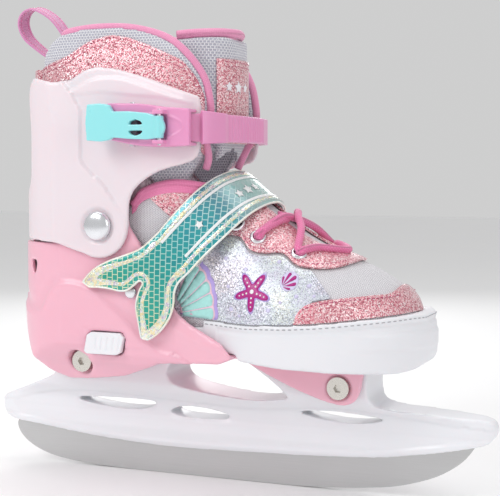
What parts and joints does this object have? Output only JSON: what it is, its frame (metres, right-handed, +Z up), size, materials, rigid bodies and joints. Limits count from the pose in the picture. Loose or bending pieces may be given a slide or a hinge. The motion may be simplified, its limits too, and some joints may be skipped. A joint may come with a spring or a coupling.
{
  "type": "ice skate",
  "caption": "Child's size-adjustable ice skate, right foot, with a ratchet buckle, hinged cuff and fish-tail strap.",
  "frame": {"origin": "middle of the flat part of the blade's edge", "axes": "+X to the toe, +Z up, -Y to the outer side with the buckle"},
  "size_m": [0.2874, 0.106, 0.2593],
  "materials": {
    "steel": "brushed",
    "bolt_steel": "polished",
    "white_plastic": "satin",
    "pink_plastic": "satin",
    "milky_plastic": "satin, slightly translucent",
    "buckle_pink": "satin",
    "turquoise_plastic": "satin",
    "white_mesh": "woven mesh",
    "padding": "padded mesh",
    "glitter_pink": "glitter",
    "glitter_silver": "holographic glitter",
    "pink_trim": "woven",
    "scale_print": "printed, iridescent border",
    "hook_loop": "hook and loop",
    "foam": "foam with cloth",
    "silver_metal": "polished"
  },
  "bodies": {
    "chassis": {"blade": "steel", "blade_holder": "white_plastic", "blade_pins": "steel", "heel_shell": "pink_plastic", "rear_bolt": "bolt_steel", "rear_nut": "bolt_steel", "front_bolt": "bolt_steel", "front_nut": "bolt_steel", "heel_liner": "padding", "heel_footbed": "foam", "shell_rivets": "silver_metal", "cuff_rivets": "silver_metal"},
    "toe_box": {"toe_sole": "white_plastic", "slide_rack": "white_plastic", "rack_screws": "bolt_steel", "toe_footbed": "foam", "toe_upper": "white_mesh", "toe_cap": "glitter_pink", "side_panels": "glitter_silver", "eyestay": "glitter_pink", "eyelets": "silver_metal", "laces": "pink_trim", "topline_binding": "pink_trim", "strap_base": "scale_print", "loop_patch": "hook_loop"},
    "tail_flap": {"tail_flap": "scale_print", "hook_patch": "hook_loop"},
    "size_button": {"size_button": "white_plastic", "button_spring": "steel"},
    "cuff": {"cuff": "milky_plastic", "collar": "padding", "collar_panel": "glitter_pink", "collar_binding": "pink_trim", "tongue": "padding", "tongue_panel": "glitter_pink", "tongue_binding": "pink_trim", "pull_loop": "pink_trim", "buckle_base": "buckle_pink", "buckle_pin": "steel", "lever_pin": "steel", "strap_tab": "buckle_pink", "strap_rivet": "silver_metal"},
    "buckle_lever": {"buckle_lever": "turquoise_plastic"},
    "ladder_strap": {"ladder_strap": "buckle_pink"}
  },
  "joints": [
    {"name": "size_slide", "type": "slide", "parent": "chassis", "child": "toe_box", "axis": [1, 0, 0], "range_m": [0, 0.024]},
    {"name": "strap_fold", "type": "hinge", "parent": "toe_box", "child": "tail_flap", "pos_m": [0.03295, 0, 0.15629], "axis": [-0.7771, 0, 0.6293], "range_deg": [0, 90]},
    {"name": "button_push", "type": "slide", "parent": "chassis", "child": "size_button", "axis": [0, 1, 0], "range_m": [0, 0.003], "stiffness_N_per_m": 1500, "springref_m": -0.0005},
    {"name": "cuff_pivot", "type": "hinge", "parent": "chassis", "child": "cuff", "pos_m": [-0.043, 0, 0.138], "axis": [0, 1, 0], "range_deg": [0, 6]},
    {"name": "lever_pivot", "type": "hinge", "parent": "cuff", "child": "buckle_lever", "pos_m": [-0.001, -0.0556, 0.188], "axis": [0, 0, 1], "range_deg": [0, 70]},
    {"name": "ladder_bend", "type": "hinge", "parent": "cuff", "child": "ladder_strap", "pos_m": [-0.006, 0.0476, 0.188], "axis": [0, 0, 1], "range_deg": [0, 75]}
  ]
}
